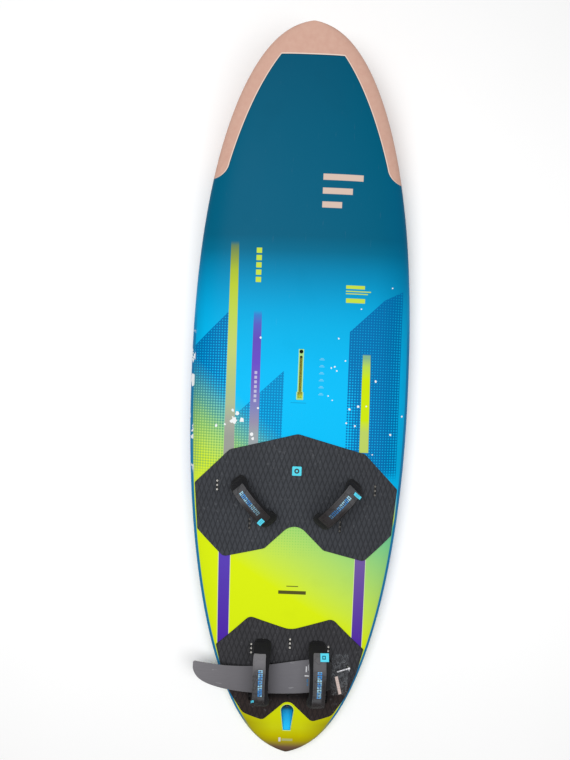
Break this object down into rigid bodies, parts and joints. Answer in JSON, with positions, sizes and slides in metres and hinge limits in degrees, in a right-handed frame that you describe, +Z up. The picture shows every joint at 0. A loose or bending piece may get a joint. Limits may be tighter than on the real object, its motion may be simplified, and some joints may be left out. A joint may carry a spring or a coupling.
{
  "type": "windsurf board",
  "caption": "Freeride windsurf board with deck pads, padded footstraps, a mast track, a vent plug and a fin box, its fin stowed across the rear straps.",
  "frame": {"origin": "on the floor under the middle of the board's length, on its centre line", "axes": "+Z up out of the deck, +Y towards the nose, +X to starboard (to the right for someone who stands on the board facing the nose)"},
  "size_m": [0.7528, 2.4596, 0.2246],
  "materials": {
    "deck_paint": "clear-coated paint, deep teal at the nose, cyan amidships, lime at the tail",
    "hull_paint": "clear-coated paint",
    "foam": "expanded polystyrene beads",
    "pad_eva": "matte EVA foam embossed with long diamonds",
    "badge": "plain moulded square",
    "track_plastic": "moulded, lime",
    "cup_plastic": "painted, blue with a lime rim",
    "box_plastic": "moulded, black",
    "base_plastic": "moulded, black",
    "insert_plastic": "moulded",
    "black_plastic": "moulded, black",
    "seal_rubber": "black rubber",
    "sleeve_neoprene": "black neoprene over foam padding",
    "webbing": "woven nylon",
    "cover_fabric": "woven fabric, dark grey-brown",
    "tab_fabric": "woven tape, cyan",
    "steel": "stainless steel",
    "brass": "machined",
    "fin_composite": "fibre-reinforced composite, satin dark grey",
    "bag_film": "clear polythene film",
    "paper": "plain"
  },
  "bodies": {
    "board": {"bag_label_strip": "paper", "bottom_skin": "hull_paint", "deck_skin": "deck_paint", "fin_bolt": "steel", "fin_bolt_cup": "cup_plastic", "fin_bolt_washer": "steel", "fin_box": "box_plastic", "foam_core": "foam", "front_deck_pad": "pad_eva", "hardware_bag": "bag_film", "insert_front_left_aft": "insert_plastic", "insert_front_left_fore": "insert_plastic", "insert_front_outer_left_aft": "insert_plastic", "insert_front_outer_left_fore": "insert_plastic", "insert_front_outer_right_aft": "insert_plastic", "insert_front_outer_right_fore": "insert_plastic", "insert_front_right_aft": "insert_plastic", "insert_front_right_fore": "insert_plastic", "insert_rear_centre_aft": "insert_plastic", "insert_rear_centre_fore": "insert_plastic", "insert_rear_left_aft": "insert_plastic", "insert_rear_left_fore": "insert_plastic", "insert_rear_outer_left_aft": "insert_plastic", "insert_rear_outer_left_fore": "insert_plastic", "insert_rear_outer_right_aft": "insert_plastic", "insert_rear_outer_right_fore": "insert_plastic", "insert_rear_right_aft": "insert_plastic", "insert_rear_right_fore": "insert_plastic", "mast_track": "track_plastic", "pad_badge": "badge", "rear_deck_pad": "pad_eva", "strap_front_left_screw_aft": "steel", "strap_front_left_screw_fore": "steel", "strap_front_left_sleeve": "sleeve_neoprene", "strap_front_left_webbing": "webbing", "strap_front_right_screw_aft": "steel", "strap_front_right_screw_fore": "steel", "strap_front_right_sleeve": "sleeve_neoprene", "strap_front_right_webbing": "webbing", "strap_rear_left_screw_aft": "steel", "strap_rear_left_screw_fore": "steel", "strap_rear_left_sleeve": "sleeve_neoprene", "strap_rear_left_webbing": "webbing", "strap_rear_right_screw_aft": "steel", "strap_rear_right_screw_fore": "steel", "strap_rear_right_sleeve": "sleeve_neoprene", "strap_rear_right_webbing": "webbing"},
    "cover_front_left": {"strap_front_left_cover": "cover_fabric", "strap_front_left_pull_tab": "tab_fabric"},
    "cover_front_right": {"strap_front_right_cover": "cover_fabric", "strap_front_right_pull_tab": "tab_fabric"},
    "cover_rear_left": {"strap_rear_left_cover": "cover_fabric", "strap_rear_left_pull_tab": "tab_fabric"},
    "cover_rear_right": {"strap_rear_right_cover": "cover_fabric", "strap_rear_right_pull_tab": "tab_fabric"},
    "fin": {"fin_blade": "fin_composite", "fin_base": "base_plastic", "fin_barrel_nut": "brass"},
    "vent_ring": {"vent_seal": "seal_rubber"},
    "vent_screw": {"vent_plug": "black_plastic"}
  },
  "joints": [
    {"name": "cover_front_left_open", "type": "hinge", "parent": "board", "child": "cover_front_left", "pos_m": [-0.19283, -0.28981, 0.19127], "axis": [-0.7429, -0.6662, -0.0657], "range_deg": [0, 110]},
    {"name": "cover_front_right_open", "type": "hinge", "parent": "board", "child": "cover_front_right", "pos_m": [0.09279, -0.40135, 0.19109], "axis": [0.7429, -0.6662, -0.0657], "range_deg": [0, 110]},
    {"name": "cover_rear_left_open", "type": "hinge", "parent": "board", "child": "cover_rear_left", "pos_m": [-0.09456, -0.84813, 0.15426], "axis": [-0.9992, 0.0043, -0.0391], "range_deg": [0, 110]},
    {"name": "cover_rear_right_open", "type": "hinge", "parent": "board", "child": "cover_rear_right", "pos_m": [0.09456, -1.03312, 0.13388], "axis": [0.9992, 0.0043, -0.0391], "range_deg": [0, 110]},
    {"name": "fin_slide", "type": "slide", "parent": "board", "child": "fin", "axis": [-1, 0, 0], "range_m": [0, 0.3]},
    {"name": "vent_rise", "type": "slide", "parent": "board", "child": "vent_ring", "axis": [0, 0, 1], "range_m": [0, 0.005]},
    {"name": "vent_turn", "type": "hinge", "parent": "vent_ring", "child": "vent_screw", "pos_m": [0, 0.1635, 0.13606], "axis": [0, 0, 1], "range_deg": [0, 1440]}
  ],
  "couplings": [
    {"joint": "vent_turn", "follows": "vent_rise", "rad_per_m": 5026.5}
  ]
}
